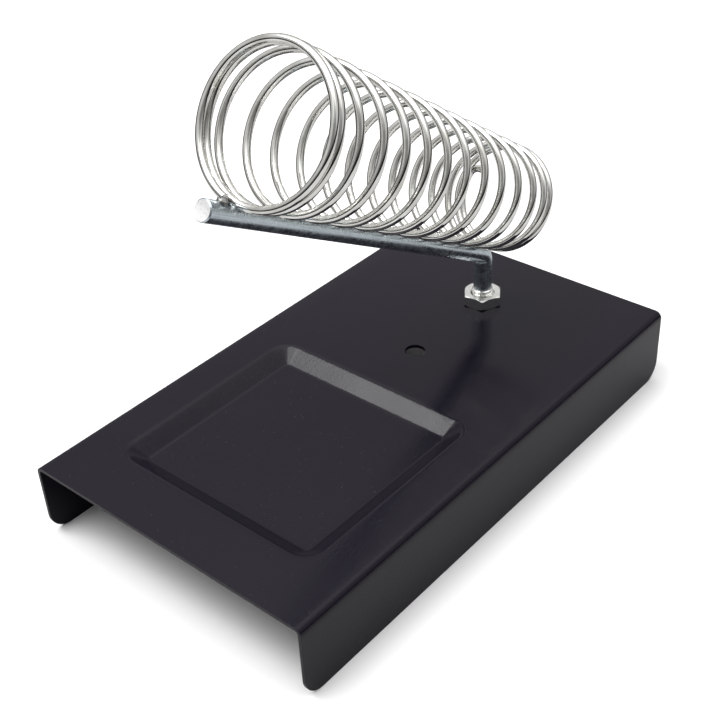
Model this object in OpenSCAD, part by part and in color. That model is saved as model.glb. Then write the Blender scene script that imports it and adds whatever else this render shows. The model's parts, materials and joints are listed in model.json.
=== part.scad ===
// Soldering iron stand: a folded sheet-steel base with a pressed tray, and a bent rod that carries
// a wire coil for the iron. Millimetres, +Z up, +Y to the back, origin at the middle of the
// footprint on the surface that the base stands on.

/* [Base] */
// Width of the base, across the two flanges
base_w = 88; // [72:1:120]
// Length of the base, front to back
base_l = 150; // [124:1:200]
// Height of the top face above the surface
base_h = 21.5; // [17:0.5:30]
// Thickness of the sheet steel
sheet_t = 1; // [0.8:0.1:1.5]
// Outer radius of the two folds
fold_r = 2; // [1.6:0.1:3]
// Radius of the flanges' lower corners
flange_corner_r = 5.5; // [2:0.5:8]

/* [Tray] */
// Width of the tray's opening
tray_w = 64; // [40:1:66]
// Length of the tray's opening
tray_l = 61; // [40:1:70]
// Depth of the tray's floor below the top face
tray_depth = 3.2; // [2.5:0.1:8]
// Slope of the tray's walls, seen from above: how far the floor lies inside the opening
tray_inset = 5; // [2:0.5:8]
// Corner radius at the tray's floor
tray_floor_r = 1; // [0.5:0.5:6]
// Flat land between the front edge and the tray
tray_from_front = 15.7; // [8:0.1:20]

/* [Holes] */
// Diameter of the spare hole behind the tray
spare_hole_d = 5.5; // [3:0.1:8]
// Place of the spare hole on the land between the tray (0) and the post (1)
spare_hole_place = 0.36; // [0.3:0.01:0.6]
// Distance from the post to the back edge
post_from_back = 24.5; // [14:0.5:40]

/* [Rod] */
// Diameter of the rod's arm and post
rod_d = 5.2; // [4:0.1:6.5]
// Length of the arm, from the corner of the bend to the front end
arm_l = 115; // [90:1:140]
// Angle at which the arm rises to the front
arm_rise = 30; // [15:1:40]
// Height of the bend's corner above the top face
bend_above_base = 15.6; // [13:0.1:25]
// Radius of the bend at the rod's centre line
bend_r = 3.4; // [3.3:0.1:6]
// Chamfer on the rod's two ends
rod_chamfer = 0.3; // [0.1:0.1:0.6]

/* [Thread and nuts] */
// Outer diameter of the thread
thread_d = 6; // [5:0.1:7.5]
// Thread that shows above the upper nut
thread_above_nut = 1.2; // [0.4:0.1:2]
// Thread that stands out below the lower nut
thread_below_nut = 3; // [1:0.5:6]
// Width of the nuts across their flats
nut_af = 10; // [8.3:0.1:13]
// Height of each nut
nut_h = 3.2; // [2.5:0.1:5]
// Angle of the chamfer on the nuts' corners
nut_chamfer_angle = 30; // [15:1:35]
// Angle of a nut's corner about the post, from the right
nut_turned = 5; // [0:1:59]

/* [Coil] */
// Diameter of the wire
wire_d = 2; // [1.6:0.1:2.6]
// Outer diameter of the coil at its front end
coil_front_d = 36.9; // [28:0.1:46]
// Outer diameter of the coil at its back end
coil_back_d = 29.3; // [24:0.1:40]
// Number of turns
coil_turns = 14.25; // [8.25:1:18.25]
// Turn at which the closed turns at the front begin to open
front_closed_turns = 1.35; // [0.5:0.05:2]
// Turns over which the coil opens at the front
front_ramp_turns = 1.2; // [0.5:0.1:2]
// Turns over which the coil closes at the back
back_ramp_turns = 2.9; // [1:0.1:3]
// Closed turns at the back
back_closed_turns = 0.35; // [0.25:0.1:1.45]
// Length of bare rod in front of the coil
coil_front_setback = 4.6; // [3:0.1:15]
// Distance from the corner of the bend to the coil's last turn
coil_back_setback = 4.9; // [2:0.1:20]
// Angle at which the coil leans to the right of the rod
coil_lean = 15; // [0:1:20]
// Radius of the inward bend at the wire's back end
tail_bend_r = 2.4; // [2:0.1:4]
// Angle of that bend
tail_bend_angle = 75; // [30:5:85]
// Straight end of the wire after that bend
tail_l = 1.6; // [0.5:0.1:4]

/* [Welds] */
// Turns of the coil that are welded to the rod
weld_turns = [0, 5, 8, 13];
// Radius of each weld bead
weld_r = 1.5; // [1.2:0.1:2]

/* [Fits] */
// Running clearance of the thread in the base's post hole, on the radius
post_clearance = 0.1; // [0.05:0.01:0.1]
// Running clearance of the thread in the nuts, on the radius
nut_clearance = 0.05; // [0.02:0.01:0.1]
// Gap between the faces of the nuts and of the plate
seat_gap = 0.05; // [0.02:0.01:0.2]
// Gap between closed turns of the wire
turn_gap = 0.1; // [0.05:0.05:0.5]
// Gap between the wire and the rod, filled by the welds
rod_gap = 0.05; // [0.02:0.01:0.2]

/* [Hidden] */

round_fn = 64;
through = 1; // how far a cut runs past the face that it opens
join = 0.01; // how far two solids of one piece run into each other

// Base
top_z = base_h;
under_z = base_h - sheet_t;
flange_h = base_h - fold_r;
tray_y = -base_l / 2 + tray_from_front + tray_l / 2;
tray_top_r = tray_floor_r + tray_inset;
tray_wall_angle = atan2(tray_depth, tray_inset);
tray_outer_grow = sheet_t * tan(tray_wall_angle / 2);

// Post and holes
post_y = base_l / 2 - post_from_back;
land_y = tray_y + tray_l / 2;
spare_hole_y = land_y + spare_hole_place * (post_y - land_y);
post_hole_r = thread_d / 2 + post_clearance;

// Rod
rod_r = rod_d / 2;
bend_z = top_z + bend_above_base;
bend_angle = 90 - arm_rise;
bend_tangent = bend_r * tan(bend_angle / 2);

// Nuts and thread
upper_nut_z = top_z + seat_gap;
lower_nut_z = under_z - seat_gap - nut_h;
thread_top_z = upper_nut_z + nut_h + thread_above_nut;
thread_end_z = lower_nut_z - thread_below_nut;
nut_bore_r = thread_d / 2 + nut_clearance;
nut_corner_r = nut_af / 2 / cos(30);
nut_chamfer_h = (nut_corner_r - nut_af / 2) * tan(nut_chamfer_angle);
nut_sink = 0.5; // depth of the countersink at each end of the nut's bore

// Coil. Turn number 0 is where the wire leaves the rod at the front.
wire_r = wire_d / 2;
wire_sides = 8;
steps_per_turn = 24;
coil_steps = round(coil_turns * steps_per_turn);
tail_steps = 5;
front_r = coil_front_d / 2 - wire_r;
back_r = coil_back_d / 2 - wire_r;
coil_start = arm_l - coil_front_setback;
coil_span = coil_start - coil_back_setback;
closed_pitch = wire_d + turn_gap;
front_open = front_closed_turns + front_ramp_turns;
back_open = coil_turns - back_closed_turns - back_ramp_turns;
open_turns = opened(coil_turns);
open_pitch = closed_pitch + (coil_span - closed_pitch * coil_turns) / open_turns;

// Area under a smooth step that rises from 0 at turn a to 1 at turn b
function ramp_sum(t, a, b) =
    let (w = b - a, x = min(max((t - a) / w, 0), 1))
    w * (x ^ 3 - x ^ 4 / 2) + max(t - b, 0);

// Turns wound at the open pitch by turn t
function opened(t) =
    ramp_sum(t, front_closed_turns, front_open)
    - ramp_sum(t, back_open, back_open + back_ramp_turns);

// Way that the wire has moved back along the rod by turn t
function wound(t) = closed_pitch * t + (open_pitch - closed_pitch) * opened(t);

// Radius of the wire's centre line at turn t
function turn_r(t) = front_r + (back_r - front_r) * wound(t) / coil_span;

// Outward direction at turn t
function outward(t) = [-sin(360 * t), 0, -cos(360 * t)];

// Centre line of the wire at turn t, in the arm's frame, where the arm runs along -Y
function coil_point(t) =
    [0, wound(t) - coil_start, rod_r + rod_gap + wire_r + turn_r(t)] + turn_r(t) * outward(t);

function unit(v) = v / norm(v);

// Centre line of the tail: an arc that turns from the last turn towards the coil's axis
tail_from = coil_point(coil_turns);
tail_ahead = unit(tail_from - coil_point(coil_turns - 0.01));
tail_in = unit(cross(cross(tail_ahead, -outward(coil_turns)), tail_ahead));
function tail_point(a) =
    tail_from + tail_bend_r * (sin(a) * tail_ahead + (1 - cos(a)) * tail_in);
function tail_way(a) = cos(a) * tail_ahead + sin(a) * tail_in;

coil_path = concat(
    [for (i = [0:coil_steps]) coil_point(i / coil_steps * coil_turns)],
    [for (i = [1:tail_steps]) tail_point(i / tail_steps * tail_bend_angle)],
    [tail_point(tail_bend_angle) + tail_l * tail_way(tail_bend_angle)]
);

// A round wire along a path: each ring stands across the path, turned to keep one corner
// outward, and neighbouring rings are joined by triangles
module wire(path, r, sides, axis_way) {
    last = len(path) - 1;
    function ahead(i) = unit(path[min(i + 1, last)] - path[max(i - 1, 0)]);
    function side(i) = unit(cross(ahead(i), axis_way));
    function up(i) = cross(side(i), ahead(i));
    points = [for (i = [0:last], k = [0:sides - 1])
        path[i] + r * (cos(360 * k / sides) * side(i) + sin(360 * k / sides) * up(i))];
    walls = [for (i = [0:last - 1], k = [0:sides - 1])
        let (a = i * sides + k, b = i * sides + (k + 1) % sides)
        each [[a, a + sides, b], [b, a + sides, b + sides]]];
    ends = [[for (k = [0:sides - 1]) k], [for (k = [sides - 1:-1:0]) last * sides + k]];
    polyhedron(points, concat(walls, ends));
}

// Rounded square frustum from z = 0 up to h, with flat walls and round cones at its corners
module tray_block(w, l, r, inset, h) {
    centre_x = w / 2 - r;
    centre_y = l / 2 - r;
    for (x = [-centre_x, centre_x], y = [-centre_y, centre_y])
        translate([x, y, 0]) cylinder(h = h, r1 = r - inset, r2 = r, $fn = round_fn);
    rotate([90, 0, 0]) linear_extrude(2 * centre_y, center = true) tray_section(w, inset, h);
    rotate([90, 0, 90]) linear_extrude(2 * centre_x, center = true) tray_section(l, inset, h);
}

module tray_section(w, inset, h) {
    polygon([[-w / 2 + inset, 0], [w / 2 - inset, 0], [w / 2, h], [-w / 2, h]]);
}

// The tray's block at its place, grown outward for the underside of the sheet
module tray_form(grow, top, way_past) {
    scale_up = way_past / tray_depth;
    translate([0, tray_y, top - tray_depth])
        tray_block(
            tray_w + 2 * grow + 2 * tray_inset * scale_up,
            tray_l + 2 * grow + 2 * tray_inset * scale_up,
            tray_top_r + grow + tray_inset * scale_up,
            tray_inset * (1 + scale_up),
            tray_depth + way_past
        );
}

// Flange, drawn in its own plane and stood up along the base's side
module flange_outline() {
    r = flange_corner_r;
    translate([-base_l / 2, r]) square([base_l, flange_h - r + join]);
    translate([-base_l / 2 + r, 0]) square([base_l - 2 * r, flange_h]);
    for (y = [-base_l / 2 + r, base_l / 2 - r])
        translate([y, r]) circle(r, $fn = round_fn);
}

module fold_section() {
    intersection() {
        difference() {
            circle(fold_r, $fn = round_fn);
            circle(fold_r - sheet_t, $fn = round_fn);
        }
        square(fold_r);
    }
}

// One long side of the base, on the right: fold and flange
module base_side() {
    translate([base_w / 2 - fold_r, base_l / 2, top_z - fold_r])
        rotate([90, 0, 0]) linear_extrude(base_l) fold_section();
    translate([base_w / 2 - sheet_t, 0, 0])
        rotate([90, 0, 90]) linear_extrude(sheet_t) flange_outline();
}

module base_plate() {
    color("#323136")
    difference() {
        union() {
            translate([-base_w / 2 + fold_r - join, -base_l / 2, under_z])
                cube([base_w - 2 * fold_r + 2 * join, base_l, sheet_t]);
            base_side();
            mirror([1, 0, 0]) base_side();
            tray_form(tray_outer_grow, under_z, 0);
        }
        tray_form(0, top_z, through);
        translate([0, spare_hole_y, under_z - through])
            cylinder(h = sheet_t + 2 * through, d = spare_hole_d, $fn = round_fn);
        translate([0, post_y, under_z - through])
            cylinder(h = sheet_t + 2 * through, r = post_hole_r, $fn = round_fn);
    }
}

// Puts its children in the arm's frame: origin at the corner of the bend, arm along -Y
module on_arm() {
    translate([0, post_y, bend_z]) rotate([-arm_rise, 0, 0]) children();
}

module chamfered_bar(r, length, chamfer) {
    cylinder(h = length - chamfer, r = r, $fn = round_fn);
    translate([0, 0, length - chamfer])
        cylinder(h = chamfer, r1 = r, r2 = r - chamfer, $fn = round_fn);
}

// Bar with a chamfered arm, a bend that is thinner by join, a post and its thread
module holder_rod() {
    color("#6f767d") {
        on_arm() translate([0, join - bend_tangent, 0]) rotate([90, 0, 0])
            chamfered_bar(rod_r, arm_l - bend_tangent + join, rod_chamfer);
        translate([0, post_y - bend_r, bend_z - bend_tangent]) rotate([90, 0, 90])
            rotate_extrude(angle = bend_angle, $fn = round_fn)
                translate([bend_r, 0]) circle(rod_r - join, $fn = round_fn);
        translate([0, post_y, thread_top_z - join])
            cylinder(h = bend_z - bend_tangent - thread_top_z + 2 * join, r = rod_r, $fn = round_fn);
        translate([0, post_y, thread_top_z]) mirror([0, 0, 1])
            chamfered_bar(thread_d / 2, thread_top_z - thread_end_z, rod_chamfer);
    }
}

module holder_coil() {
    color("#c9cbc8")
        on_arm() rotate([0, coil_lean, 0]) wire(coil_path, wire_r, wire_sides, [0, 1, 0]);
}

module coil_welds() {
    color("#8b8a86")
        on_arm() rotate([0, coil_lean, 0])
            for (t = weld_turns)
                translate([0, wound(t) - coil_start, rod_r]) sphere(weld_r, $fn = round_fn);
}

// Hexagon nut standing on z = 0, with chamfered corners and a countersunk bore
module nut() {
    difference() {
        intersection() {
            cylinder(h = nut_h, r = nut_corner_r, $fn = 6);
            union() {
                cylinder(h = nut_chamfer_h, r1 = nut_af / 2, r2 = nut_corner_r, $fn = round_fn);
                translate([0, 0, nut_chamfer_h])
                    cylinder(h = nut_h - 2 * nut_chamfer_h, r = nut_corner_r, $fn = round_fn);
                translate([0, 0, nut_h - nut_chamfer_h])
                    cylinder(h = nut_chamfer_h, r1 = nut_corner_r, r2 = nut_af / 2, $fn = round_fn);
            }
        }
        translate([0, 0, -through])
            cylinder(h = nut_h + 2 * through, r = nut_bore_r, $fn = round_fn);
        cylinder(h = nut_sink, r1 = nut_bore_r + nut_sink, r2 = nut_bore_r, $fn = round_fn);
        translate([0, 0, nut_h - nut_sink])
            cylinder(h = nut_sink, r1 = nut_bore_r, r2 = nut_bore_r + nut_sink, $fn = round_fn);
    }
}

module upper_nut() {
    color("#b4b3ae") translate([0, post_y, upper_nut_z]) rotate(nut_turned) nut();
}

module lower_nut() {
    color("#b4b3ae") translate([0, post_y, lower_nut_z]) rotate(nut_turned) nut();
}

base_plate();
holder_rod();
holder_coil();
coil_welds();
upper_nut();
lower_nut();
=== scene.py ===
"""Soldering iron stand: a pressed sheet-steel base and a bent rod that carries a wire coil.

Sizes are in metres, in the frame of the packed model: +Z up, +Y to the back, and the origin in the
middle of the footprint on the surface that the stand rests on.
"""
import json
import math

import bpy
import numpy as np
from bpy.props import FloatProperty, FloatVectorProperty, PointerProperty
from mathutils import Euler, Matrix, Vector


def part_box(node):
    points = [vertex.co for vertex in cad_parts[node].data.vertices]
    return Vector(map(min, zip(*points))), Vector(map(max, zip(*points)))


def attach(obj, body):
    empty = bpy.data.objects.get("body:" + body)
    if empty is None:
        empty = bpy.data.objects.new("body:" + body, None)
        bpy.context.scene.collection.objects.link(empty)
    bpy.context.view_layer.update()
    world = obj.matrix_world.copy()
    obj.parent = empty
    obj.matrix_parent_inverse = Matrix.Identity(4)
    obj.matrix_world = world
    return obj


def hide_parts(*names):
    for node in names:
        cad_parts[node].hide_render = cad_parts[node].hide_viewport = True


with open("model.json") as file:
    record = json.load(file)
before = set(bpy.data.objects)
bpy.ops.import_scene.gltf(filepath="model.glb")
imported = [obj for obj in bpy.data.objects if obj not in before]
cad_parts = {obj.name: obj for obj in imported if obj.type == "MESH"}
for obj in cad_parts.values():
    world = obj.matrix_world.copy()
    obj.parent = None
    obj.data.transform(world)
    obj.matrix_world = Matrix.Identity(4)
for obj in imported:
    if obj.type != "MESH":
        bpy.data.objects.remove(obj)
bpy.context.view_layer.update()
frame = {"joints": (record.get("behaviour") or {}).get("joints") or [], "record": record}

bl_info = {
    "name": "Soldering Iron Stand",
    "version": (1, 0, 0),
    "blender": (4, 5, 0),
    "location": "View3D > Sidebar > Iron Stand",
    "description": "Builds a sheet-steel stand with a wire coil that holds a soldering iron",
    "category": "Add Mesh",
}

MM = 0.001
MERGE_STEP = 1e-7  # points closer than this are one vertex

PLAN_STEPS = 64  # steps along one side of a flat patch of the base
ARC_STEPS = 14  # steps in half of a tray corner's arc, and in a flange corner's arc
ROUND_STEPS = 8  # steps round the folds, and round the tray's rim and floor
ROD_SIDES = 64
BEND_STEPS = 32
THREAD_STEPS = 16  # steps in one turn of the thread
THREAD_DEPTH = 0.6134  # depth of a metric thread, in pitches
WIRE_SIDES = 20
WIRE_STEPS = 80  # steps in one turn of the coil
TAIL_STEPS = 14
CAP_STEPS = 4  # steps from the rim of a cut end to its centre
WELD_TURNS = (0.0, 5.0, 8.0, 13.0)  # turns of the coil that are welded to the rod

LIGHT_AWAY = 1.5  # distance of both lights from the stand, in metres
SIDE_LIGHT = (-32, 66, 0.8)  # azimuth and elevation in degrees, and size in metres
WINDOW_LIGHT = (-63, 52, 0.32)
LOW_BAND = (0.08, 0.34)  # sines of the elevations over which the room's low light rises
HIGH_BAND = (0.6, 1)  # and its high light
WALL_WAY = (0.64, -0.62, 0.46)  # direction from the stand to the middle of the room's dark wall
WALL_EDGE = (0.78, 0.92)  # cosines from that direction over which the wall darkens

BASE_LOW, BASE_HIGH = (np.array(corner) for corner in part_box("base_plate"))
ROD_LOW = np.array(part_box("holder_rod")[0])
JOINTS = {joint["name"]: joint for joint in frame["joints"]}
MOUNTS = {mount["name"]: mount for mount in frame["record"]["mounts"]}
POST_XY = np.array(JOINTS["holder_swivel"]["pos_m"][:2])
SPARE_HOLE_XY = np.array(MOUNTS["spare_hole"]["pos_m"][:2])
SPARE_HOLE_R = MOUNTS["spare_hole"]["dims"]["r_mm"] * MM


def linear(code):
    """Scene-linear colour of an sRGB hex value such as "#2b2a2e"."""
    channels = np.array([int(code[i:i + 2], 16) for i in (1, 3, 5)]) / 255
    curve = ((channels + 0.055) / 1.055) ** 2.4
    return tuple(np.where(channels <= 0.04045, channels / 12.92, curve))


def length(name, description, millimetres):
    """A length that a user can change."""
    return FloatProperty(name=name, description=description, default=millimetres * MM,
                         unit="LENGTH", precision=5)


def angle(name, description, degrees):
    """An angle that a user can change."""
    return FloatProperty(name=name, description=description, default=math.radians(degrees),
                         subtype="ANGLE")


def number(name, description, value):
    """A plain number that a user can change."""
    return FloatProperty(name=name, description=description, default=value)


def colour(name, description, code):
    """A colour that a user can change."""
    return FloatVectorProperty(name=name, description=description, default=linear(code),
                               subtype="COLOR", min=0, max=1)


# ---------------------------------------------------------------- settings


class BaseSettings(bpy.types.PropertyGroup):
    """Sizes of the folded base."""

    sheet_t: length("Sheet thickness", "Thickness of the sheet steel", 1)
    fold_r: length("Fold radius", "Outer radius of the two long folds", 2)
    flange_corner_r: length("Flange corner radius", "Radius of the flanges' lower corners", 5.5)
    edge_r: length("Edge radius", "Radius that the coating leaves on the cut edges", 0.11)
    tray_w: length("Tray width", "Width of the pressed tray's opening", 64)
    tray_l: length("Tray length", "Length of the pressed tray's opening", 61)
    tray_depth: length("Tray depth", "Depth of the tray's floor", 3.2)
    tray_inset: length("Tray slope", "How far the floor lies inside the opening", 5)
    tray_corner_r: length("Tray corner radius", "Corner radius of the opening, seen from above", 6)
    tray_from_front: length("Tray place", "Flat land between the front edge and the tray", 15.7)
    rim_r: length("Rim radius", "Radius over which the sheet turns down at the tray's rim", 2.6)
    floor_r: length("Floor radius", "Radius between the tray's wall and its floor", 1.6)
    post_hole_r: length("Post hole radius", "Radius of the hole that the post passes through", 3.1)


class RodSettings(bpy.types.PropertyGroup):
    """Sizes of the bent and threaded rod."""

    rod_d: length("Rod diameter", "Diameter of the arm and the post", 5.2)
    arm_l: length("Arm length", "Length from the corner of the bend to the front end", 115)
    arm_rise: angle("Arm rise", "Angle at which the arm rises to the front", 30)
    bend_above_base: length("Bend height", "Height of the bend's corner above the top face", 15.6)
    bend_r: length("Bend radius", "Radius of the bend at the rod's centre line", 3.4)
    chamfer: length("End chamfer", "Chamfer on the two ends", 0.3)
    thread_d: length("Thread diameter", "Outer diameter of the rolled thread", 5.94)
    thread_pitch: length("Thread pitch", "Rise of one turn of the thread", 1)
    thread_above_nut: length("Thread above nut", "Thread that shows above the upper nut", 1.6)


class CoilSettings(bpy.types.PropertyGroup):
    """Sizes of the wire coil."""

    wire_d: length("Wire diameter", "Diameter of the wire", 1.95)
    front_d: length("Front diameter", "Outer diameter of the coil at its front end", 36.9)
    back_d: length("Back diameter", "Outer diameter of the coil at its back end", 29.3)
    turns: number("Turns", "Number of turns", 14.25)
    front_closed: number("Closed turns", "Turn at which the front turns begin to open", 1.35)
    front_ramp: number("Opening turns", "Turns over which the coil opens at the front", 1.2)
    back_ramp: number("Closing turns", "Turns over which the coil closes at the back", 2.9)
    back_closed: number("Last closed turns", "Closed turns at the back", 0.35)
    front_setback: length("Front setback", "Length of bare rod in front of the coil", 4.6)
    back_setback: length("Back setback", "Distance from the bend's corner to the last turn", 4.9)
    lean: angle("Lean", "Angle at which the coil leans to the right of the rod", 15)
    closed_pitch: length("Closed pitch", "Advance of one closed turn", 2.1)
    rod_gap: length("Rod gap", "Gap between the wire and the rod, filled by the welds", 0.05)
    wire_cad_d: length("Wire space", "Diameter of the wire's space on the rod", 2)
    tail_bend_r: length("Tail bend radius", "Radius of the inward bend at the wire's back end", 2.4)
    tail_angle: angle("Tail bend angle", "Angle of that bend", 75)
    tail_l: length("Tail length", "Straight end of the wire after that bend", 1.6)
    weld_r: length("Weld radius", "Radius of each weld bead", 1.5)


class NutSettings(bpy.types.PropertyGroup):
    """Sizes of the two hexagon nuts."""

    across_flats: length("Across flats", "Width across the flats", 10)
    bore_r: length("Bore radius", "Radius of the threaded bore at its crests", 3.03)
    sink: length("Countersink", "Depth of the countersink at each end of the bore", 0.5)
    face_r: length("Face radius", "Radius of the flat face inside the corner chamfer", 5.1)
    chamfer: angle("Corner chamfer", "Angle of the chamfer on the corners", 30)
    turned: angle("Turned", "Angle of a nut's corner about the post, from the right", 5)


class FinishSettings(bpy.types.PropertyGroup):
    """Colours of the finishes."""

    coat: colour("Powder coat", "Black powder coat of the base", "#110d18")
    dust: colour("Dust", "Pale dust on the powder coat", "#6f6c70")
    nickel: colour("Nickel", "Bright nickel on the wire", "#efefec")
    tarnish: colour("Tarnish", "Brownish film in the nickel", "#b4b0a8")
    rod: colour("Blued zinc", "Blued zinc on the rod", "#c4ced4")
    rod_dark: colour("Rod scale", "Dark drawing marks on the rod", "#686e73")
    cut: colour("Sheared steel", "Bare steel at the cut ends", "#ffffff")
    zinc: colour("Bright zinc", "Bright zinc on the nuts", "#eeeeeb")
    weld: colour("Weld", "Plated weld bead", "#8d8a84")


class StageSettings(bpy.types.PropertyGroup):
    """Camera, lights and floor."""

    lens: number("Lens", "Focal length in millimetres on a 36 mm sensor", 62.56)
    azimuth: angle("Azimuth", "Camera's direction round the stand, from front to right", 42.03)
    elevation: angle("Elevation", "Camera's height above the horizon", 35.07)
    roll: angle("Roll", "Camera's tilt about its line of sight", -3.15)
    distance: length("Distance", "Distance from the camera to the point that it looks at", 322.7)
    aim: FloatVectorProperty(name="Aim", description="Point that the camera looks at",
                             unit="LENGTH", subtype="TRANSLATION",
                             default=(-1.04 * MM, -2.07 * MM, 30 * MM))
    floor: colour("Floor", "Pale floor", "#f4f4f4")
    floor_shade: colour("Floor shade", "Floor as the stand's pieces reflect it", "#b8b8b8")
    room_low: number("Low room light", "Strength of the room's light at the horizon", 0.02)
    room_middle: number("Middle room light", "Strength of the room's light half way up", 0.66)
    room_high: number("High room light", "Strength of the room's light overhead", 2.4)
    wall: number("Dark wall", "Share of the room's light that the dark wall gives", 0.4)
    backdrop: number("Backdrop", "Strength of the pale backdrop behind the floor", 1)
    side: number("Side light", "Power of the large soft light high at the front left, in watts", 11)
    window: number("Window light", "Power of the small soft light at the front left, in watts", 2.6)
    floor_size: length("Floor size", "Side of the square floor", 1000)


SETTINGS = {
    "stand_base": BaseSettings,
    "stand_rod": RodSettings,
    "stand_coil": CoilSettings,
    "stand_nut": NutSettings,
    "stand_finish": FinishSettings,
    "stand_stage": StageSettings,
}

# ---------------------------------------------------------------- meshes


def make_piece(name, patches, materials, sharp_degrees=40):
    """One mesh object at the origin, made of patches that share their borders.

    A patch is (points, tracks, slot): points is rows x columns x 3, tracks is rows x columns x 2
    and becomes the UV map, and slot picks the material. A face turns from a column to the next
    column and then to the next row, so it points along (column step) x (row step). Points that
    meet become one vertex, and a quad with two corners in one place becomes a triangle, which
    closes seams and poles.
    """
    places = np.concatenate([points.reshape(-1, 3) for points, _, _ in patches])
    tracks = np.concatenate([track.reshape(-1, 2) for _, track, _ in patches])
    keys = np.round(places / MERGE_STEP).astype(np.int64)
    _, kept, merged = np.unique(keys, axis=0, return_index=True, return_inverse=True)
    merged = merged.reshape(-1)
    quads, slots, start = [], [], 0
    for points, _, slot in patches:
        rows, columns = points.shape[:2]
        index = start + np.arange(rows * columns).reshape(rows, columns)
        corners = (index[:-1, :-1], index[:-1, 1:], index[1:, 1:], index[1:, :-1])
        quads.append(np.stack(corners, axis=-1).reshape(-1, 4))
        slots.append(np.full(len(quads[-1]), slot))
        start += rows * columns
    quads, slots = np.concatenate(quads), np.concatenate(slots)
    doubled = merged[quads] == np.roll(merged[quads], -1, axis=1)
    whole, pinched = doubled.sum(1) == 0, doubled.sum(1) == 1
    triangles = quads[pinched][~doubled[pinched]].reshape(-1, 3)
    mesh = bpy.data.meshes.new(name)
    mesh.from_pydata(places[kept].tolist(), [],
                     merged[quads[whole]].tolist() + merged[triangles].tolist())
    loops = np.concatenate([quads[whole].ravel(), triangles.ravel()])
    uv_map = mesh.uv_layers.new(name="tracks")
    uv_map.uv.foreach_set("vector", tracks[loops].astype(np.float32).ravel())
    order = np.concatenate([slots[whole], slots[pinched]])
    mesh.polygons.foreach_set("material_index", order.astype(np.int32))
    for material in materials:
        mesh.materials.append(material)
    mesh.shade_smooth()
    mesh.set_sharp_from_angle(angle=math.radians(sharp_degrees))
    if mesh.validate():
        raise RuntimeError(f"{name}: the mesh had faults")
    piece = bpy.data.objects.new(name, mesh)
    bpy.context.scene.collection.objects.link(piece)
    return piece


def settle(piece, body, node):
    """Puts a finished piece on its body, in the place of its CAD node, which it hides."""
    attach(piece, body)
    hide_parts(node)


def unit(vectors):
    """Vectors of length one along the last axis."""
    return vectors / np.linalg.norm(vectors, axis=-1, keepdims=True)


def smooth_step(x):
    """Rises from 0 at x = 0 to 1 at x = 1 as 3x^2 - 2x^3."""
    x = np.clip(x, 0, 1)
    return x * x * (3 - 2 * x)


def tube(path, ahead, side, radius, sides):
    """Surface of a bar along a path.

    Row i, column a: path + radius(i, a) * (cos a * side + sin a * up), where up = ahead x side. The
    radius may be one number for each row or a grid. Tracks are (way along the path, way round it).
    """
    turn = np.linspace(0, 2 * np.pi, sides + 1)
    up = np.cross(ahead, side)
    radius = np.broadcast_to(np.atleast_2d(radius.T).T, (len(path), sides + 1))
    spoke = np.cos(turn)[None, :, None] * side[:, None] + np.sin(turn)[None, :, None] * up[:, None]
    points = path[:, None] + radius[..., None] * spoke
    points[:, -1] = points[:, 0]
    way = np.concatenate([[0], np.cumsum(np.linalg.norm(np.diff(path, axis=0), axis=1))])
    tracks = np.stack(np.broadcast_arrays(way[:, None], turn[None] * radius.max()), axis=-1)
    return points, tracks


def end_cap(centre, ahead, side, radius, sides, outward, dish=0.0):
    """Round cut face at a bar's end, from the rim to the centre, hollowed by dish * (1 - r^2)."""
    turn = np.linspace(0, 2 * np.pi, sides + 1)
    spoke = np.cos(turn)[:, None] * side + np.sin(turn)[:, None] * np.cross(ahead, side)
    share = np.linspace(1, 0, CAP_STEPS + 1)
    points = centre + radius * share[:, None, None] * spoke[None]
    points = points - outward * dish * ((1 - share ** 2)[:, None, None]) * ahead
    points[:, -1] = points[:, 0]
    tracks = np.stack([points[..., 0], points[..., 1] + points[..., 2]], axis=-1)
    if outward < 0:
        return points[::-1], tracks[::-1]
    return points, tracks


# ---------------------------------------------------------------- base


def outline(low, high, corner_r, steps, arc_steps):
    """Closed rounded rectangle with 4 * steps + 1 points, from the middle of the first arc.

    Side k runs from corner k to corner k + 1: half an arc in arc_steps, a straight stretch, half
    an arc. A point is an arc's centre, which slides along the side, plus corner_r at an angle that
    turns only on the arcs. With arc_steps = steps / 2 and a square, it is a circle.
    """
    step = np.arange(4 * steps + 1)
    side, place = step // steps, step % steps
    straight = max(steps - 2 * arc_steps, 1)
    slide = np.clip((place - arc_steps) / straight, 0, 1)
    turn = 0.5 * (np.clip(place / arc_steps, 0, 1)
                  + np.clip((place - steps + arc_steps) / arc_steps, 0, 1))
    heading = np.pi * (1.25 + 0.5 * (side + turn))
    (low_x, low_y), (high_x, high_y) = np.array(low) + corner_r, np.array(high) - corner_r
    corners = np.array([(low_x, low_y), (high_x, low_y), (high_x, high_y), (low_x, high_y)])
    centre = corners[side % 4] * (1 - slide)[:, None] + corners[(side + 1) % 4] * slide[:, None]
    ring = centre + corner_r * np.stack([np.cos(heading), np.sin(heading)], axis=-1)
    ring[-1] = ring[0]
    return ring


def border(low, high, steps):
    """Closed sharp rectangle with 4 * steps + 1 points, from its first corner, anticlockwise."""
    share = (np.arange(steps) / steps)[:, None]
    corners = np.array([low, (high[0], low[1]), high, (low[0], high[1]), low])
    sides = corners[:-1, None] * (1 - share) + corners[1:, None] * share
    return np.concatenate([sides.reshape(-1, 2), corners[-1:]])


def flat_patch(outer, inner, height, rings):
    """Flat ring between two closed outlines: rows slide from the outer one to the inner one."""
    share = np.linspace(0, 1, rings + 1)[:, None, None]
    plan = outer[None] * (1 - share) + inner[None] * share
    plan[0], plan[-1] = outer, inner
    return np.concatenate([plan, np.full(plan.shape[:2] + (1,), height)], axis=-1)


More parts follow.
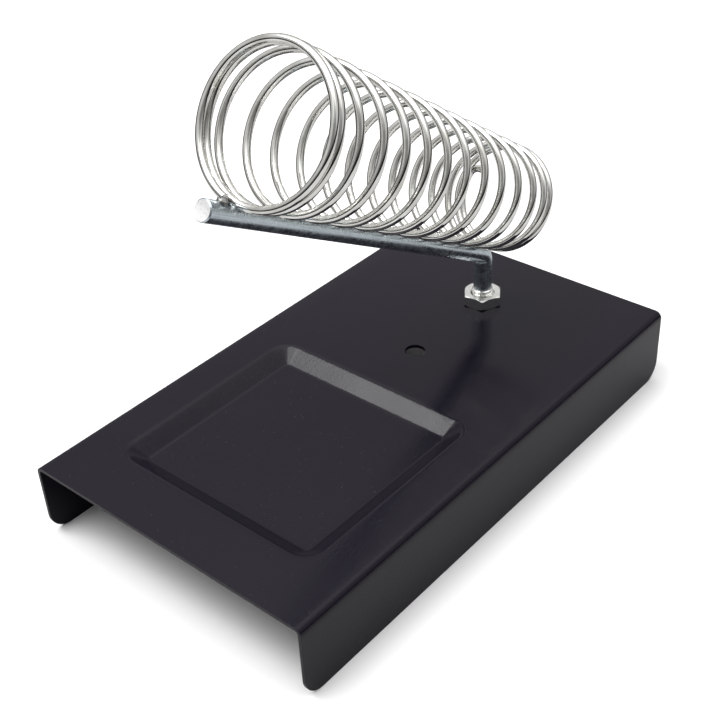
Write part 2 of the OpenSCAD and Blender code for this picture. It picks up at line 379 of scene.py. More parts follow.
def tray_section(base):
    """Section of the tray's wall as (way inward, way down) from the opening's nominal edge.

    A convex arc of rim_r turns the flat top down to the wall's slope, and a concave arc of floor_r
    turns it level again. Each arc touches its two straight neighbours.
    """
    slope = math.atan2(base.tray_depth, base.tray_inset)
    down = np.linspace(0, slope, ROUND_STEPS + 1)
    level = np.linspace(slope, 0, ROUND_STEPS + 1)
    rim_tangent = base.rim_r * math.tan(slope / 2)
    floor_tangent = base.floor_r * math.tan(slope / 2)
    rim = np.stack([
        base.rim_r * np.sin(down) - rim_tangent,
        base.rim_r * (1 - np.cos(down)),
    ], axis=-1)
    floor = np.stack([
        base.tray_inset + floor_tangent - base.floor_r * np.sin(level),
        base.tray_depth - base.floor_r * (1 - np.cos(level)),
    ], axis=-1)
    share = np.linspace(0, 1, 6)[1:-1, None]
    return np.concatenate([rim, rim[-1] * (1 - share) + floor[0] * share, floor])


def tray_patch(base, centre, height, steps, arc_steps):
    """The pressed tray: its section carried round the opening, then the floor to its centre."""
    section = tray_section(base)
    half = np.array([base.tray_w, base.tray_l]) / 2
    rings = np.stack([
        outline(centre - half + inward, centre + half - inward, base.tray_corner_r - inward,
                steps, arc_steps)
        for inward in section[:, 0]
    ])
    levels = np.broadcast_to((height - section[:, 1])[:, None, None], (*rings.shape[:2], 1))
    walls = np.concatenate([rings, levels], axis=-1)
    middle = np.array([*centre, height - base.tray_depth])
    share = np.linspace(1, 0, 12)[1:, None, None]
    return walls, np.concatenate([walls[-1:], middle + (walls[-1:] - middle) * share])


def flange_patch(base, rows_y, side):
    """One long fold and its flange: the fold's quarter circle, the flat wall, the round corners.

    Each row has one height and one distance from the middle, and its points run along the base.
    Below the corner radius R, the row's half length is L - R + R cos a at the height R - R sin a.
    The last step is a wider one, so that the lowest row is higher than the cut edge's own radius.
    """
    low, high = BASE_LOW, BASE_HIGH
    fold = np.linspace(0, np.pi / 2, ROUND_STEPS + 1)
    wall = np.linspace(high[2] - base.fold_r, low[2] + base.flange_corner_r, 10)[1:]
    last_step = 0.18 * np.pi / 2
    corner = np.append(np.linspace(0, np.pi / 2 - last_step, ARC_STEPS)[1:], np.pi / 2)
    across = np.concatenate([high[0] - base.fold_r * (1 - np.sin(fold)),
                             np.full(len(wall) + len(corner), high[0])])
    heights = np.concatenate([high[2] - base.fold_r * (1 - np.cos(fold)), wall,
                              low[2] + base.flange_corner_r * (1 - np.sin(corner))])
    shorter = np.concatenate([np.zeros(len(fold) + len(wall)),
                              base.flange_corner_r * (1 - np.cos(corner))])
    along = rows_y / high[1] * (high[1] - shorter)[:, None]
    points = np.stack(np.broadcast_arrays(side * across[:, None], along, heights[:, None]),
                      axis=-1)
    return points[:, ::-1] if side > 0 else points


def plain_tracks(points):
    """A UV map straight from above, for a piece whose material doesn't read it."""
    return points[..., :2]


class STAND_OT_base(bpy.types.Operator):
    """Folded sheet-steel base with its pressed tray and two holes"""

    bl_idname = "iron_stand.base"
    bl_label = "Base"

    def execute(self, context):
        base = context.scene.stand_base
        steps = PLAN_STEPS
        edge_x, top = BASE_HIGH[0] - base.fold_r, BASE_HIGH[2]
        tray_half = np.array([base.tray_w, base.tray_l]) / 2
        tray_centre = np.array([0, BASE_LOW[1] + base.tray_from_front + tray_half[1]])
        land_y = tray_centre[1] + tray_half[1]
        cuts = [BASE_LOW[1], (land_y + SPARE_HOLE_XY[1] - SPARE_HOLE_R) / 2,
                (SPARE_HOLE_XY[1] + POST_XY[1]) / 2, BASE_HIGH[1]]
        borders = [border((-edge_x, cuts[i]), (edge_x, cuts[i + 1]), steps) for i in range(3)]
        walls, floor = tray_patch(base, tray_centre, top, steps, ARC_STEPS)
        spare, post = (outline(place - r, place + r, r, steps, steps // 2)
                       for place, r in ((SPARE_HOLE_XY, SPARE_HOLE_R), (POST_XY, base.post_hole_r)))
        surfaces = [walls, floor,
                    flat_patch(borders[0], walls[0, :, :2], top, rings=6),
                    flat_patch(borders[1], spare, top, rings=8),
                    flat_patch(borders[2], post, top, rings=8)]
        rows_y = np.unique(np.concatenate([ring[steps:2 * steps + 1, 1] for ring in borders]))
        surfaces += [flange_patch(base, rows_y, side) for side in (-1, 1)]
        patches = [(points, plain_tracks(points), 0) for points in surfaces]
        piece = make_piece("pressed_base", patches, [powder_coat(context.scene.stand_finish)])
        sheet = piece.modifiers.new("Sheet", "SOLIDIFY")
        sheet.thickness = base.sheet_t
        sheet.offset = -1
        sheet.use_even_offset = True
        sheet.use_quality_normals = True
        edge = piece.modifiers.new("Cut edges", "BEVEL")
        edge.width = base.edge_r
        edge.segments = 2
        edge.limit_method = "ANGLE"
        edge.angle_limit = math.radians(60)
        edge.harden_normals = True
        settle(piece, "base", "base_plate")
        return {"FINISHED"}


# ---------------------------------------------------------------- rod


def arm_frame(rod):
    """Corner of the bend, and the direction in which the arm rises to the front."""
    corner = np.array([*POST_XY, BASE_HIGH[2] + rod.bend_above_base])
    return corner, np.array([0, -math.cos(rod.arm_rise), math.sin(rod.arm_rise)])


def rod_path(rod, thread_end):
    """Centre line of the rod from its front end: points, directions, and the bend's own share.

    The arm is straight to the tangent of the bend, the bend is a circular arc of bend_r that turns
    by 90 degrees less the arm's rise, and the post runs straight down.
    """
    corner, arm = arm_frame(rod)
    turn = np.pi / 2 - rod.arm_rise
    tangent = rod.bend_r * math.tan(turn / 2)
    reach = np.concatenate([[rod.arm_l, rod.arm_l - rod.chamfer],
                            np.linspace(rod.arm_l - 1 * MM, tangent, 140)])
    straight = corner + reach[:, None] * arm
    angles = np.linspace(turn, 0, BEND_STEPS + 1)[1:]
    centre = corner - np.array([0, rod.bend_r, tangent])
    bend = centre + rod.bend_r * np.stack([0 * angles, np.cos(angles), np.sin(angles)], axis=-1)
    step = rod.thread_pitch / THREAD_STEPS
    heights = np.arange(corner[2] - tangent - step, thread_end + rod.chamfer, -step)
    heights = np.concatenate([heights, [thread_end + rod.chamfer, thread_end]])
    post = np.stack([0 * heights + corner[0], 0 * heights + corner[1], heights], axis=-1)
    ahead = np.concatenate([np.tile(-arm, (len(straight), 1)),
                            np.stack([0 * angles, np.sin(angles), -np.cos(angles)], axis=-1),
                            np.tile([0.0, 0.0, -1.0], (len(post), 1))])
    share = np.concatenate([np.zeros(len(straight)), 1 - angles / turn, np.ones(len(post))])
    return np.concatenate([straight, bend, post]), ahead, share


def rod_radius(rod, path, bend_share, thread_top, sides):
    """Radius of the rod at each row and angle.

    Drawn bar: rod_d / 2. Bend: the inner side is crimped in by a share 0.09 - 0.05 cos(3 pi s)
    times cos^2(pi s / 2), where s runs from -1 to 1 along the bend, and by less to the sides, as
    the squared cosine of the angle from the inner side. Thread: below thread_top, the mean radius
    plus a clipped cosine of 2 pi (height / pitch + angle / 2 pi), which fades in over half a
    turn. Both ends: limited by a 45 degree chamfer.
    """
    bar_r = rod.rod_d / 2
    angles = np.linspace(0, 2 * np.pi, sides + 1)[None]
    inner = np.clip(np.sin(angles), 0, 1) ** 2
    along = (bend_share[:, None] - 0.5) / 0.5
    rolls = 0.09 - 0.05 * np.cos(3 * np.pi * along)
    crimp = np.where(np.abs(along) < 1, np.cos(np.pi / 2 * along) ** 2 * rolls, 0)
    grid = bar_r * (1 - crimp * inner)
    height = path[:, 2][:, None]
    crest, depth = rod.thread_d / 2, THREAD_DEPTH * rod.thread_pitch
    turns = height / rod.thread_pitch + angles / (2 * np.pi)
    steep = 1.25  # above 1, so that the clipped cosine leaves flat crests and roots
    wave = np.clip(steep * np.cos(2 * np.pi * turns), -1, 1)
    thread = crest - depth / 2 + depth / 2 * wave
    on_post = (bend_share[:, None] >= 1) & (height < thread_top)
    fade = np.where(on_post, smooth_step((thread_top - height) / (0.5 * rod.thread_pitch)), 0)
    grid = grid * (1 - fade) + thread * fade
    from_front = np.linalg.norm(path - path[0], axis=1)[:, None]
    from_end = np.linalg.norm(path - path[-1], axis=1)[:, None]
    grid = np.minimum(grid, bar_r - rod.chamfer + from_front)
    return np.minimum(grid, crest - depth - rod.chamfer + from_end)


class STAND_OT_rod(bpy.types.Operator):
    """Bent rod with its cut front end, crimped bend and rolled thread"""

    bl_idname = "iron_stand.rod"
    bl_label = "Rod"

    def execute(self, context):
        rod = context.scene.stand_rod
        sides = ROD_SIDES
        path, ahead, bend_share = rod_path(rod, ROD_LOW[2])
        thread_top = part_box("upper_nut")[1].z + rod.thread_above_nut
        radius = rod_radius(rod, path, bend_share, thread_top, sides)
        side = np.tile([1.0, 0.0, 0.0], (len(path), 1))
        body, tracks = tube(path, ahead, side, radius, sides)
        first = int(np.argmax(path[:, 2] < thread_top))
        front = end_cap(path[0], ahead[0], side[0], radius[0, 0], sides, outward=-1, dish=0.12 * MM)
        foot = end_cap(path[-1], ahead[-1], side[-1], radius[-1, 0], sides, outward=1)
        finish = context.scene.stand_finish
        patches = [(body[:first + 1], tracks[:first + 1], 0), (body[first:], tracks[first:], 2),
                   (*front, 1), (*foot, 1)]
        materials = [blued_zinc(finish), sheared_steel(finish),
                     bright_zinc("bright_zinc_thread", finish)]
        piece = make_piece("bent_rod", patches, materials)
        settle(piece, "holder", "holder_rod")
        return {"FINISHED"}


# ---------------------------------------------------------------- coil


def ramp_sum(turn, start, end):
    """Area, up to a turn, under a step that rises smoothly from 0 at start to 1 at end.

    It is width * (x^3 - x^4 / 2), where x goes from 0 to 1 over the width, and after the end it
    grows by turn - end.
    """
    width = end - start
    x = np.clip((turn - start) / width, 0, 1)
    return width * (x ** 3 - x ** 4 / 2) + np.maximum(turn - end, 0)


class Winding:
    """The coil's centre line, in the leaning frame of the arm and in the stand's frame.

    At turn t the wire is wound(t) behind the front turn, where wound grows by the closed pitch at
    both ends and by the open pitch between them. The radius falls in a straight line with wound,
    and every turn passes rod_gap above the rod.
    """

    def __init__(self, coil, rod):
        self.coil, self.rod = coil, rod
        self.start = rod.arm_l - coil.front_setback
        self.span = self.start - coil.back_setback
        self.front_r = (coil.front_d - coil.wire_cad_d) / 2
        self.back_r = (coil.back_d - coil.wire_cad_d) / 2
        self.open_more = (self.span - coil.closed_pitch * coil.turns) / self.opened(coil.turns)
        self.rest = rod.rod_d / 2 + coil.rod_gap + coil.wire_cad_d / 2

    def opened(self, turn):
        """Turns wound at the open pitch by this turn."""
        coil = self.coil
        closing = coil.turns - coil.back_closed - coil.back_ramp
        return (ramp_sum(turn, coil.front_closed, coil.front_closed + coil.front_ramp)
                - ramp_sum(turn, closing, closing + coil.back_ramp))

    def wound(self, turn):
        """Way behind the front turn."""
        return self.coil.closed_pitch * turn + self.open_more * self.opened(turn)

    def radius(self, turn):
        """Radius of the centre line."""
        return self.front_r + (self.back_r - self.front_r) * self.wound(turn) / self.span

    def outward(self, turn):
        """Direction from the coil's axis to the wire."""
        return np.stack([-np.sin(2 * np.pi * turn), 0 * turn, -np.cos(2 * np.pi * turn)], axis=-1)

    def leaning(self, turn):
        """Point in the leaning frame, where the axis is at the rest height plus the radius."""
        radius = self.radius(turn)
        axis = np.stack([0 * turn, self.wound(turn) - self.start, self.rest + radius], axis=-1)
        return axis + radius[..., None] * self.outward(turn)

    def placed(self, points):
        """Leaning frame to the stand's frame: lean about the arm, rise about the bend's corner."""
        rise = Matrix.Rotation(-self.rod.arm_rise, 3, "X")
        turned = rise @ Matrix.Rotation(self.coil.lean, 3, "Y")
        return points @ np.array(turned).T + arm_frame(self.rod)[0]

    def tail(self, steps):
        """The wire's end: an arc of tail_bend_r towards the coil's axis, and a short straight."""
        coil = self.coil
        last = np.array(coil.turns)
        ahead = unit(self.leaning(last) - self.leaning(last - 0.01))
        across = np.cross(ahead, -self.outward(last))
        inward = unit(np.cross(across, ahead))
        bend = np.linspace(0, coil.tail_angle, steps + 1)[1:, None]
        swing = np.sin(bend) * ahead + (1 - np.cos(bend)) * inward
        arc = self.leaning(last) + coil.tail_bend_r * swing
        way = math.cos(coil.tail_angle) * ahead + math.sin(coil.tail_angle) * inward
        return np.concatenate([arc, arc[-1] + np.array([[0.9], [1.0]]) * coil.tail_l * way])

    def path(self, steps_per_turn, tail_steps):
        """Centre line of the whole wire in the stand's frame."""
        turns = np.linspace(0, self.coil.turns, int(self.coil.turns * steps_per_turn) + 1)
        return self.placed(np.concatenate([self.leaning(turns), self.tail(tail_steps)]))


def carried_side(ahead, first):
    """Sideways directions carried along a path without twist.

    Each is the last one, less its part along the new direction, made one long again.
    """
    side = np.empty_like(ahead)
    current = first
    for i, way in enumerate(ahead):
        current = current - way * (current @ way)
        current = current / np.linalg.norm(current)
        side[i] = current
    return side


class STAND_OT_coil(bpy.types.Operator):
    """Wire coil, closed at both ends and open between them, with its inward tail"""

    bl_idname = "iron_stand.coil"
    bl_label = "Coil"

    def execute(self, context):
        scene = context.scene
        winding = Winding(scene.stand_coil, scene.stand_rod)
        path = winding.path(WIRE_STEPS, TAIL_STEPS)
        ahead = unit(np.gradient(path, axis=0))
        side = carried_side(ahead, np.array([0.0, 1.0, 0.0]))
        wire_r, chamfer = scene.stand_coil.wire_d / 2, 0.14 * MM
        body = tube(path, ahead, side, np.full(len(path), wire_r), WIRE_SIDES)
        chamfers, caps = [], []
        for at, outward in ((0, -1), (-1, 1)):
            tip = path[at] + outward * chamfer * ahead[at]
            rows = np.array([path[at], tip])[::outward]
            radii = np.array([wire_r, wire_r - chamfer])[::outward]
            chamfers.append((*tube(rows, ahead[[at, at]], side[[at, at]], radii, WIRE_SIDES), 0))
            cap = end_cap(tip, ahead[at], side[at], wire_r - chamfer, WIRE_SIDES, outward)
            caps.append((*cap, 1))
        finish = scene.stand_finish
        piece = make_piece("wire_coil", [(*body, 0), *chamfers, *caps],
                           [bright_nickel(finish), sheared_steel(finish)])
        settle(piece, "holder", "holder_coil")
        return {"FINISHED"}


class STAND_OT_welds(bpy.types.Operator):
    """Weld beads between the coil and the rod: balls with low waves round them"""

    bl_idname = "iron_stand.welds"
    bl_label = "Welds"

    def execute(self, context):
        scene = context.scene
        coil, rod = scene.stand_coil, scene.stand_rod
        winding = Winding(coil, rod)
        around, over = np.meshgrid(np.linspace(0, 2 * np.pi, 49),
                                   np.linspace(-np.pi / 2, np.pi / 2, 33))
        ball = np.stack([np.cos(over) * np.cos(around), np.cos(over) * np.sin(around),
                         np.sin(over)], axis=-1)
        patches = []
        stretch = np.array([1.0, 0.86, 0.9])
        for count, turn in enumerate(WELD_TURNS):
            lumps = (0.05 * np.cos(3 * around + 1.7 * count) * np.cos(over)
                     + 0.04 * np.cos(5 * around - 2.3 * count) * np.cos(over) ** 2
                     + 0.03 * np.sin(7 * over + count) * np.cos(over))
            spread = coil.weld_r * (0.9 + lumps)[..., None] * ball * stretch
            spread[:, -1] = spread[:, 0]
            place = np.array([0, winding.wound(np.array(turn)) - winding.start, rod.rod_d / 2])
            points = winding.placed(spread + place)
            tracks = np.stack([around, over], axis=-1) * coil.weld_r
            patches.append((points, tracks, 0))
        piece = make_piece("weld_beads", patches, [weld_metal(scene.stand_finish)])
        settle(piece, "holder", "coil_welds")
        return {"FINISHED"}


# ---------------------------------------------------------------- nuts


def soft_least(values, softness):
    """Least of several values, rounded where two are equal: -s log(sum of exp(-v / s))."""
    return -softness * np.log(np.sum(np.exp(-np.stack(values) / softness), axis=0))


def nut_surface(nut, low, high, place, turned, pitch):
    """Surface of a hexagon nut, from the bottom of its bore round the outside to the bore again.

    At angle a and height z the outside lies at the least of the six flats' distances,
    half / cos(a - flat), and of the two chamfer cones, face_r + depth / tan(chamfer). The bore has
    a shallow thread of that pitch, and opens as a cone at each end.
    """
    angles = np.linspace(0, 2 * np.pi, 181)
    half, softness = nut.across_flats / 2, 0.035 * MM
    depths = np.concatenate([np.linspace(0, 0.9 * MM, 19), [1.2 * MM]])
    heights = np.concatenate([low + depths, high - depths[::-1]])[:, None]
    into = np.minimum(heights - low, high - heights)
    flats = np.pi / 6 + np.pi / 3 * np.arange(6)
    lean = np.cos(angles[None, None] - flats[:, None, None])
    faced = 0.2  # a flat counts where its cosine is above this, and otherwise it is a metre away
    walls = [np.broadcast_to(np.where(wall > faced, half / np.maximum(wall, faced), 1.0),
                             (len(heights), len(angles))) for wall in lean]
    cone = np.broadcast_to(nut.face_r + into / math.tan(nut.chamfer), walls[0].shape)
    outside = soft_least([*walls, cone], softness)
    sink_r = nut.bore_r + nut.sink
    bore_z = np.linspace(high - nut.sink, low + nut.sink, 60)
    thread_depth, fade = 0.16 * MM, 0.3 * MM
    turns = bore_z[:, None] / pitch + angles / (2 * np.pi)
    from_ends = np.minimum(high - nut.sink - bore_z, bore_z - low - nut.sink)
    ends = smooth_step(from_ends / fade)[:, None]
    bore = nut.bore_r + thread_depth * np.clip(np.cos(2 * np.pi * turns), 0, 1) * ends
    ring = np.ones((1, len(angles)))
    faces = [0.15, 0.5, 0.85]
    top = [outside[-1:] * (1 - s) + sink_r * s * ring for s in faces]
    bottom = [sink_r * (1 - s) * ring + outside[:1] * s for s in faces]
    lip = 0.06 * MM
    inner, outer = (sink_r - lip) * ring, (sink_r + lip) * ring
    radii = np.concatenate([inner, outer, *bottom, outside, *top, outer, inner, bore, inner])
    levels = np.concatenate([[low + lip, low], [low] * len(faces), heights[:, 0],
                             [high] * len(faces), [high, high - lip], bore_z, [low + lip]])
    around = angles + turned
    points = np.stack(np.broadcast_arrays(place[0] + radii * np.cos(around),
                                          place[1] + radii * np.sin(around),
                                          levels[:, None]), axis=-1)
    points[:, -1] = points[:, 0]
    return points


class STAND_OT_nuts(bpy.types.Operator):
    """Upper and lower hexagon nut"""

    bl_idname = "iron_stand.nuts"
    bl_label = "Nuts"

    def execute(self, context):
        nut, rod = context.scene.stand_nut, context.scene.stand_rod
        material = bright_zinc("bright_zinc_nut", context.scene.stand_finish)
        for node, name in (("upper_nut", "top_nut"), ("lower_nut", "under_nut")):
            low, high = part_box(node)
            points = nut_surface(nut, low.z, high.z, POST_XY, nut.turned, rod.thread_pitch)
            piece = make_piece(name, [(points, plain_tracks(points), 0)], [material],
                               sharp_degrees=28)
            settle(piece, node, node)
        return {"FINISHED"}


# ---------------------------------------------------------------- finishes


def add_node(tree, kind, options=None, values=None, links=None):
    """Adds one node with its options, the values of its sockets, and links from other sockets."""
    node = tree.nodes.new(kind)
    for name, option in (options or {}).items():
        setattr(node, name, option)
    for name, value in (values or {}).items():
        node.inputs[name].default_value = value
    for name, socket in (links or {}).items():
        tree.links.new(socket, node.inputs[name])
    return node


def new_material(name, values):
    """A material with one Principled shader that has these values."""
    material = bpy.data.materials.new(name)
    material.use_nodes = True
    tree = material.node_tree
    tree.nodes.clear()
    shader = add_node(tree, "ShaderNodeBsdfPrincipled", values=values)
    add_node(tree, "ShaderNodeOutputMaterial", links={"Surface": shader.outputs["BSDF"]})
    return material, tree, shader


def grain(tree, size, source="Object", stretch=(1, 1, 1), detail=2.0, roughness=0.5):
    """Noise whose features are about this size in metres, stretched along the axes given."""
    place = add_node(tree, "ShaderNodeTexCoord")
    scaled = add_node(tree, "ShaderNodeMapping", links={"Vector": place.outputs[source]},
                      values={"Scale": [1 / (size * way) for way in stretch]})
    noise = add_node(tree, "ShaderNodeTexNoise",
                     values={"Scale": 1.0, "Detail": detail, "Roughness": roughness},
                     links={"Vector": scaled.outputs["Vector"]})
    return noise.outputs["Fac"]


def between(tree, factor, low, high, from_low=0.3, from_high=0.7):
    """A value that goes from low to high as the factor goes from from_low to from_high."""
    values = {"From Min": from_low, "From Max": from_high, "To Min": low, "To Max": high}
    node = add_node(tree, "ShaderNodeMapRange", values=values, links={"Value": factor})
    return node.outputs["Result"]


def mixed(tree, factor, first, second):
    """A colour between two colours."""
    node = add_node(tree, "ShaderNodeMix", options={"data_type": "RGBA"}, links={0: factor})
    for index, shade in ((6, first), (7, second)):
        if isinstance(shade, bpy.types.NodeSocket):
            tree.links.new(shade, node.inputs[index])
        else:
            node.inputs[index].default_value = (*shade, 1)
    return node.outputs[2]


def bumped(tree, shader, layers):
    """Bump layers, each (height, strength, depth in metres), from the first to the last."""
    under = {}
    for height, strength, depth in layers:
        node = add_node(tree, "ShaderNodeBump", values={"Strength": strength, "Distance": depth},
                        links={"Height": height, **under})
        under = {"Normal": node.outputs["Normal"]}
    tree.links.new(under["Normal"], shader.inputs["Normal"])


def powder_coat(finish):
    """Baked polyester powder on sheet steel: it flows into a shallow orange peel that breaks up
    reflections and sparkles where a light grazes it, and it keeps a little pale dust."""
    material, tree, shader = new_material("baked_powder_coat",
                                          {"IOR": 1.5, "Specular IOR Level": 0.2})
    peel = grain(tree, 0.6 * MM, detail=1.5)
    # the powder's own grain is about 0.05 mm, too fine to show, so it is drawn at 0.25 mm
    powder = grain(tree, 0.25 * MM, detail=2.0)
    bumped(tree, shader, [(peel, 0.7, 0.045 * MM), (powder, 0.3, 0.012 * MM)])
    cloud = grain(tree, 14 * MM, detail=3.0)
    tree.links.new(between(tree, cloud, 0.14, 0.2), shader.inputs["Roughness"])
    dust = between(tree, grain(tree, 0.5 * MM, detail=0.0), 0, 0.16, 0.8, 0.88)
    tree.links.new(mixed(tree, dust, finish.coat, finish.dust), shader.inputs["Base Color"])
    return material


def bright_nickel(finish):
    """Bright nickel plated on drawn spring wire: near-mirror bands that run along the wire, broken
    by faint drawing lines, with a brownish film in places."""
    material, tree, shader = new_material("bright_nickel_plate", {"Metallic": 1.0})
    film = between(tree, grain(tree, 5 * MM, detail=3.0), 0, 0.55)
    # drawing lines are about 0.05 mm apart, too fine to show, so they are drawn at 0.2 mm
    lines = grain(tree, 0.2 * MM, "UV", stretch=(60, 1, 1), detail=1.0)
    tree.links.new(mixed(tree, film, finish.nickel, finish.tarnish), shader.inputs["Base Color"])
    tree.links.new(between(tree, lines, 0.04, 0.1), shader.inputs["Roughness"])
    bumped(tree, shader, [(lines, 0.05, 0.01 * MM)])
    return material


def blued_zinc(finish):
    """Blue-passivated zinc on drawn mild steel bar: a satin blue-grey skin with dark drawing marks
    along the bar and small dull patches."""
    material, tree, shader = new_material("blued_zinc_plate", {"Metallic": 1.0})
    lines = grain(tree, 0.35 * MM, "UV", stretch=(40, 1, 1), detail=2.0)
    patches = grain(tree, 2.2 * MM, detail=3.0)
    marks = between(tree, lines, 0, 0.6, 0.45, 0.75)
    tree.links.new(mixed(tree, marks, finish.rod, finish.rod_dark), shader.inputs["Base Color"])
    tree.links.new(between(tree, patches, 0.2, 0.36), shader.inputs["Roughness"])
    bumped(tree, shader, [(lines, 0.2, 0.015 * MM), (patches, 0.12, 0.03 * MM)])
    return material


def sheared_steel(finish):
    """Bar cropped in a shear: a bright torn face with fine pits."""
    material, tree, shader = new_material("sheared_steel", {"Metallic": 1.0, "Roughness": 0.6})
    pits = grain(tree, 0.5 * MM, detail=4.0, roughness=0.7)
    shade = between(tree, pits, 0, 0.5, 0.5, 0.75)
    tree.links.new(mixed(tree, shade, finish.cut, finish.tarnish), shader.inputs["Base Color"])
    bumped(tree, shader, [(pits, 0.5, 0.08 * MM)])
    return material


def bright_zinc(name, finish):
    """Bright zinc on a cold-formed nut or a rolled thread: a clear silver skin, dulled by wear."""
    material, tree, shader = new_material(name, {"Metallic": 1.0})
    wear = grain(tree, 1.2 * MM, detail=3.0)
    tree.links.new(between(tree, wear, 0.14, 0.26), shader.inputs["Roughness"])
    tree.links.new(mixed(tree, between(tree, wear, 0, 0.3), finish.zinc, finish.cut),
                   shader.inputs["Base Color"])
    bumped(tree, shader, [(wear, 0.15, 0.02 * MM)])
    return material


def weld_metal(finish):
    """Plated weld bead: rippled metal with dark oxide in its hollows."""
    material, tree, shader = new_material("plated_weld", {"Metallic": 1.0, "Roughness": 0.35})
    ripples = grain(tree, 0.6 * MM, detail=3.0)
    tree.links.new(mixed(tree, between(tree, ripples, 0, 0.7), finish.weld, finish.rod_dark),
                   shader.inputs["Base Color"])
    bumped(tree, shader, [(ripples, 0.4, 0.06 * MM)])
    return material


# ---------------------------------------------------------------- stage


def soft_light(name, azimuth, elevation, size, watts, aim):
    """Square soft light at an azimuth and an elevation in degrees, turned to face the aim."""
    light = bpy.data.lights.new(name, "AREA")
    light.shape = "SQUARE"
    light.size = size
    light.energy = watts
    lamp = bpy.data.objects.new(name, light)
    azimuth, elevation = math.radians(azimuth), math.radians(elevation)
    level = math.cos(elevation)
    back = Vector((math.sin(azimuth) * level, -math.cos(azimuth) * level, math.sin(elevation)))
    lamp.location = aim + back * LIGHT_AWAY
    lamp.rotation_mode = "QUATERNION"
    lamp.rotation_quaternion = back.to_track_quat("Z", "Y")
    bpy.context.scene.collection.objects.link(lamp)


def matt_paper(stage):
    """Plain pale paper, which the camera sees a little brighter than the stand's own pieces do."""
    material, tree, shader = new_material("matt_paper", {"Roughness": 0.9})
    ray = add_node(tree, "ShaderNodeLightPath")
    shade = mixed(tree, ray.outputs["Is Camera Ray"], stage.floor_shade, stage.floor)
    tree.links.new(shade, shader.inputs["Base Color"])
    return material


def room(stage):
    """The room's light, dim at the horizon and bright overhead, with a dark wall at front right.

    The camera itself sees a pale backdrop in its place.
    """
    world = bpy.data.worlds.new("room")
    world.use_nodes = True
    tree = world.node_tree
    tree.nodes.clear()
    way = add_node(tree, "ShaderNodeTexCoord")
    height = add_node(tree, "ShaderNodeSeparateXYZ", links={"Vector": way.outputs["Generated"]})
    low = between(tree, height.outputs["Z"], stage.room_low, stage.room_middle, *LOW_BAND)
    high = between(tree, height.outputs["Z"], 0, stage.room_high - stage.room_middle,
                   *HIGH_BAND)
    glow = add_node(tree, "ShaderNodeMath", options={"operation": "ADD"}, links={0: low, 1: high})
    facing = add_node(tree, "ShaderNodeVectorMath", options={"operation": "DOT_PRODUCT"},
                      links={0: way.outputs["Generated"]})
    facing.inputs[1].default_value = WALL_WAY
    wall = between(tree, facing.outputs["Value"], 1, stage.wall, *WALL_EDGE)
    lit = add_node(tree, "ShaderNodeMath", options={"operation": "MULTIPLY"},
                   links={0: glow.outputs["Value"], 1: wall})
    light = add_node(tree, "ShaderNodeBackground", links={"Strength": lit.outputs["Value"]})
    backdrop = add_node(tree, "ShaderNodeBackground", values={"Strength": stage.backdrop})
    for node in (light, backdrop):
        node.inputs["Color"].default_value = (1, 1, 1, 1)
    ray = add_node(tree, "ShaderNodeLightPath")
    both = add_node(tree, "ShaderNodeMixShader", links={0: ray.outputs["Is Camera Ray"],
                                                        1: light.outputs["Background"],
                                                        2: backdrop.outputs["Background"]})
    add_node(tree, "ShaderNodeOutputWorld", links={"Surface": both.outputs["Shader"]})
    return world


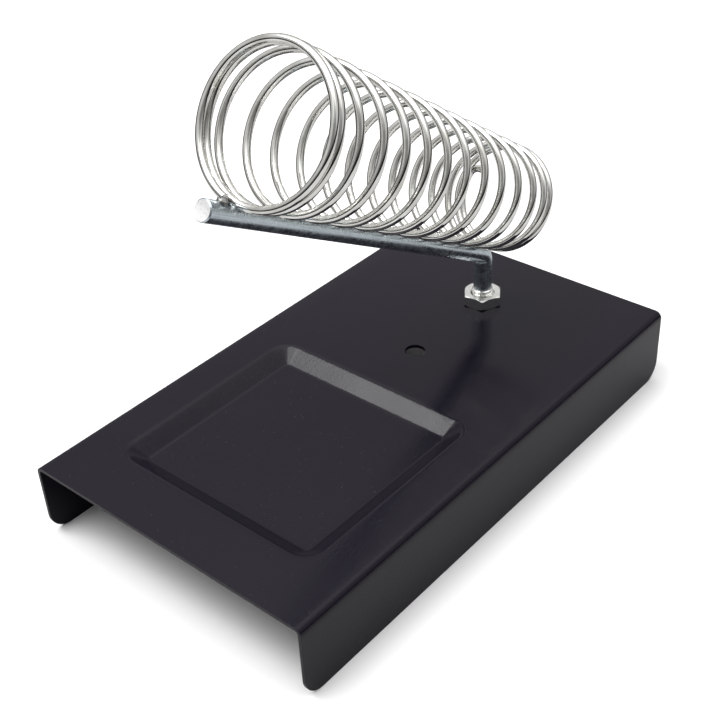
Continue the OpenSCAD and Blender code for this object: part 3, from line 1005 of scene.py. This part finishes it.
class STAND_OT_stage(bpy.types.Operator):
    """Pale floor, soft studio lights and camera"""

    bl_idname = "iron_stand.stage"
    bl_label = "Stage"

    def execute(self, context):
        scene, stage = context.scene, context.scene.stand_stage
        half = stage.floor_size / 2
        mesh = bpy.data.meshes.new("floor")
        corners = [(-half, -half, 0), (half, -half, 0), (half, half, 0), (-half, half, 0)]
        mesh.from_pydata(corners, [], [(0, 1, 2, 3)])
        mesh.materials.append(matt_paper(stage))
        floor = bpy.data.objects.new("floor", mesh)
        scene.collection.objects.link(floor)

        aim = Vector(stage.aim)
        camera_data = bpy.data.cameras.new("camera")
        camera_data.lens = stage.lens
        camera_data.sensor_width = 36
        camera_data.clip_start, camera_data.clip_end = 0.01, 10
        camera = bpy.data.objects.new("camera", camera_data)
        turn = Euler((math.pi / 2 - stage.elevation, 0, stage.azimuth)).to_matrix()
        turn = (turn @ Matrix.Rotation(stage.roll, 3, "Z")).to_4x4()
        camera.matrix_world = (Matrix.Translation(aim) @ turn
                               @ Matrix.Translation((0, 0, stage.distance)))
        scene.collection.objects.link(camera)
        scene.camera = camera

        soft_light("side_light", *SIDE_LIGHT, stage.side, aim)
        soft_light("window_light", *WINDOW_LIGHT, stage.window, aim)
        scene.world = room(stage)
        scene.view_settings.view_transform = "Standard"
        return {"FINISHED"}


class STAND_PT_panel(bpy.types.Panel):
    """Lists the stand's pieces and their sizes"""

    bl_label = "Iron Stand"
    bl_idname = "STAND_PT_panel"
    bl_space_type = "VIEW_3D"
    bl_region_type = "UI"
    bl_category = "Iron Stand"

    def draw(self, context):
        for group in OPERATORS:
            self.layout.operator(group.bl_idname)
        for name, group in SETTINGS.items():
            box = self.layout.box()
            box.label(text=group.__doc__.rstrip("."))
            for field in group.__annotations__:
                box.prop(getattr(context.scene, name), field)


OPERATORS = (STAND_OT_stage, STAND_OT_base, STAND_OT_rod, STAND_OT_coil, STAND_OT_welds,
             STAND_OT_nuts)


def register():
    """Registers the settings, the operators and the panel."""
    for group in (*SETTINGS.values(), *OPERATORS, STAND_PT_panel):
        bpy.utils.register_class(group)
    for name, group in SETTINGS.items():
        setattr(bpy.types.Scene, name, PointerProperty(type=group))


def unregister():
    """Takes them away again."""
    for name in SETTINGS:
        delattr(bpy.types.Scene, name)
    for group in (STAND_PT_panel, *reversed(OPERATORS), *reversed(list(SETTINGS.values()))):
        bpy.utils.unregister_class(group)


def main():
    """Builds the stage and every piece."""
    register()
    bpy.ops.iron_stand.stage()
    bpy.ops.iron_stand.base()
    bpy.ops.iron_stand.rod()
    bpy.ops.iron_stand.coil()
    bpy.ops.iron_stand.welds()
    bpy.ops.iron_stand.nuts()


if __name__ == "__main__":
    main()
